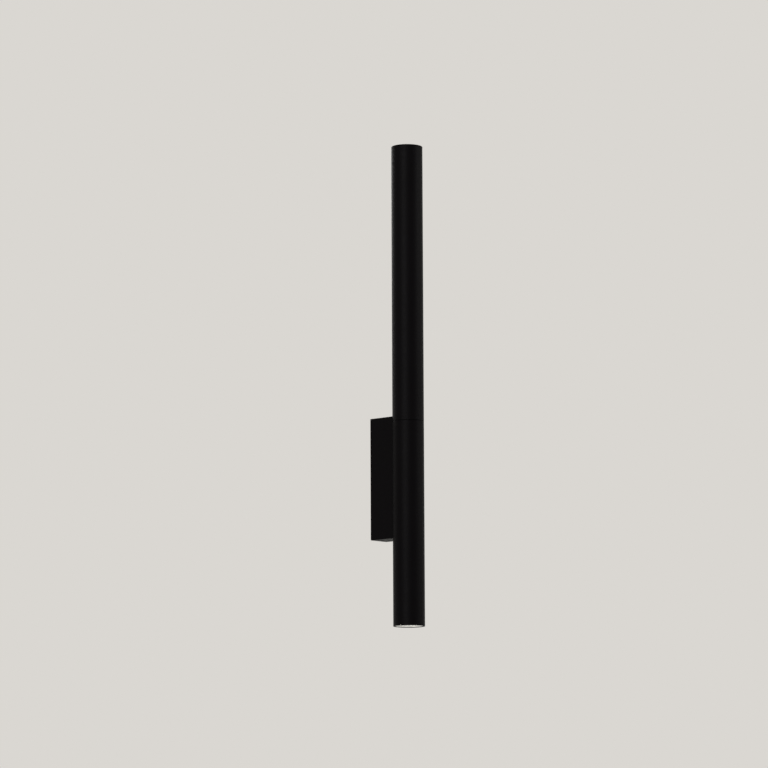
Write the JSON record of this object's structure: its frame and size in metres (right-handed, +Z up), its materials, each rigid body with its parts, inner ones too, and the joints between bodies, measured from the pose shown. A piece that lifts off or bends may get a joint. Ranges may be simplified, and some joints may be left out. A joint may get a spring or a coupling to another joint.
{
  "type": "tube wall light",
  "caption": "Slim upright round tube on a narrow wall box, throwing light up and down the wall from lamps set inside both open ends.",
  "frame": {"origin": "centre of the wall fixing pattern, on the plate's back face and so on the wall plane", "axes": "+X to the right seen from the room, +Y into the wall, +Z up along the tube; the room is on the -Y side"},
  "size_m": [0.04, 0.071, 0.613],
  "materials": {
    "black_powder_coat": "matte",
    "zinc_plated_steel": "satin",
    "blackened_steel": "satin",
    "spring_steel": "polished",
    "brass": "satin",
    "bare_aluminium": "satin",
    "polished_aluminium": "polished",
    "black_anodised_aluminium": "satin",
    "white_baffle": "satin",
    "black_rubber": "matte",
    "grey_silicone": "matte",
    "white_plastic": "matte",
    "phosphor": "satin",
    "lens_glass": "satin",
    "brown_insulation": "satin",
    "green_yellow_insulation": "satin",
    "blue_insulation": "satin",
    "tinned_copper": "satin",
    "white_lead": "satin"
  },
  "bodies": {
    "wall_mount": {"wall_plate": "zinc_plated_steel", "cable_grommet": "black_rubber", "earth_stud": "zinc_plated_steel", "earth_washer": "zinc_plated_steel", "earth_nut": "brass"},
    "lamp": {"wall_box": "black_powder_coat", "box_grub_screws": "blackened_steel", "tube_screws": "zinc_plated_steel", "lead_bush": "black_rubber", "terminal_block": "white_plastic", "terminal_inserts": "brass", "terminal_screws": "zinc_plated_steel", "terminal_fixing_screws": "zinc_plated_steel", "lower_tube": "black_powder_coat", "upper_tube": "black_powder_coat", "tube_coupler": "black_anodised_aluminium", "coupler_grub_screw": "blackened_steel", "nut_block": "bare_aluminium", "driver_tray": "zinc_plated_steel", "tray_screw": "zinc_plated_steel", "driver_case": "white_plastic", "driver_screws": "zinc_plated_steel", "sink_grub_screws": "blackened_steel", "supply_lead": "white_lead", "live_core": "brown_insulation", "earth_core": "green_yellow_insulation", "neutral_core": "blue_insulation", "core_ends": "tinned_copper", "upper_led_lead": "white_lead", "lower_led_lead": "white_lead", "lower_reflector": "polished_aluminium", "lower_emitter_holder": "white_plastic", "lower_emitter": "phosphor", "lower_emitter_plate": "bare_aluminium", "lower_thermal_pad": "grey_silicone", "lower_heat_sink": "bare_aluminium", "lower_holder_screws": "zinc_plated_steel", "upper_reflector": "polished_aluminium", "upper_emitter_holder": "white_plastic", "upper_emitter": "phosphor", "upper_emitter_plate": "bare_aluminium", "upper_thermal_pad": "grey_silicone", "upper_heat_sink": "bare_aluminium", "upper_holder_screws": "zinc_plated_steel"},
    "lower_baffle": {"lower_glare_ring": "white_baffle", "lower_ring_grip": "black_rubber", "lower_lens": "lens_glass", "lower_lens_clip": "spring_steel"},
    "upper_baffle": {"upper_glare_ring": "white_baffle", "upper_ring_grip": "black_rubber", "upper_lens": "lens_glass", "upper_lens_clip": "spring_steel"}
  },
  "joints": [
    {"name": "lamp_lift_off", "type": "slide", "parent": "wall_mount", "child": "lamp", "axis": [0, -1, 0], "range_m": [0, 0.04]},
    {"name": "lower_baffle_pull", "type": "slide", "parent": "lamp", "child": "lower_baffle", "axis": [0, 0, -1], "range_m": [0, 0.022]},
    {"name": "upper_baffle_pull", "type": "slide", "parent": "lamp", "child": "upper_baffle", "axis": [0, 0, 1], "range_m": [0, 0.022]}
  ]
}
